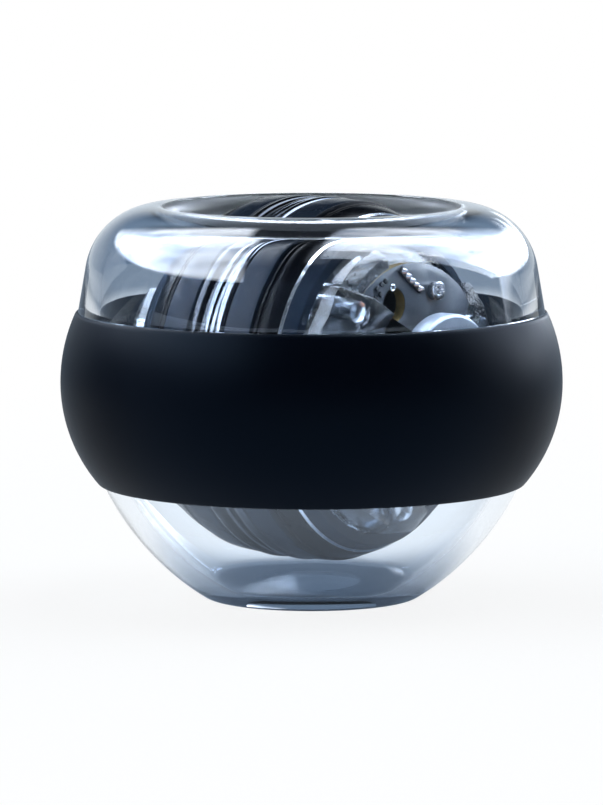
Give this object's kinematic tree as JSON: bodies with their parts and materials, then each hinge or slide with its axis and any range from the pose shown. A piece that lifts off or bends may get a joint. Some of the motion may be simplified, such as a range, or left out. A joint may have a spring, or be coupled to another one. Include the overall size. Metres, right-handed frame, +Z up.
{
  "type": "gyroscopic wrist ball",
  "caption": "Open-mouthed clear ball with a soft grip band round its middle and a self-starting lit rotor spinning on a level axle inside a turning ring.",
  "frame": {"origin": "middle of the flat base, on the surface that the ball stands on", "axes": "+Z up through the mouth; the rotor's axle lies level along X in the stored pose"},
  "size_m": [0.0701, 0.0702, 0.0564],
  "materials": {
    "clear_shell": "gloss",
    "grip_silicone": "matte",
    "race_nylon": "satin",
    "hoop_steel": "satin",
    "bearing_plastic": "satin",
    "cup_nickel": "satin",
    "magnet_ferrite": "matte",
    "axle_steel": "polished",
    "arbor_brass": "satin",
    "spring_steel": "satin",
    "drum_plastic": "satin",
    "weight_steel": "polished",
    "clear_lens": "gloss",
    "board_laminate": "satin",
    "lamp_resin": "gloss",
    "bobbin_plastic": "satin",
    "winding_copper": "gloss",
    "chip_plastic": "matte",
    "screw_steel": "satin"
  },
  "bodies": {
    "housing": {"upper_shell": "clear_shell", "lower_shell": "clear_shell", "grip_band": "grip_silicone", "upper_race": "race_nylon", "lower_race": "race_nylon"},
    "ring": {"axle_hoop": "hoop_steel", "right_bearing_block": "bearing_plastic", "left_bearing_block": "bearing_plastic", "right_magnet_cup": "cup_nickel", "left_magnet_cup": "cup_nickel", "right_magnet": "magnet_ferrite", "left_magnet": "magnet_ferrite"},
    "axle": {"axle": "axle_steel", "spring_arbor": "arbor_brass", "axle_clips": "spring_steel"},
    "rotor": {"right_drum_half": "drum_plastic", "left_drum_half": "drum_plastic", "weight_ring": "weight_steel", "mainspring": "spring_steel", "spring_cover": "bearing_plastic", "drum_screws": "screw_steel", "carrier_screws": "screw_steel", "right_lens_carrier": "clear_lens", "right_board": "board_laminate", "right_lamps": "lamp_resin", "right_bobbins": "bobbin_plastic", "right_windings": "winding_copper", "right_chip": "chip_plastic", "right_board_screws": "screw_steel", "left_lens_carrier": "clear_lens", "left_board": "board_laminate", "left_lamps": "lamp_resin", "left_bobbins": "bobbin_plastic", "left_windings": "winding_copper", "left_chip": "chip_plastic", "left_board_screws": "screw_steel"}
  },
  "joints": [
    {"name": "ring_precession", "type": "hinge", "parent": "housing", "child": "ring", "pos_m": [0, 0, 0.03106], "axis": [0, 0, 1], "continuous": true},
    {"name": "axle_spin", "type": "hinge", "parent": "ring", "child": "axle", "pos_m": [0, 0, 0.03106], "axis": [1, 0, 0], "continuous": true},
    {"name": "rotor_wind", "type": "hinge", "parent": "axle", "child": "rotor", "pos_m": [0, 0, 0.03106], "axis": [1, 0, 0], "range_deg": [-1530, 0], "stiffness_Nm_per_rad": 0.0012, "deforming": ["mainspring"]}
  ]
}
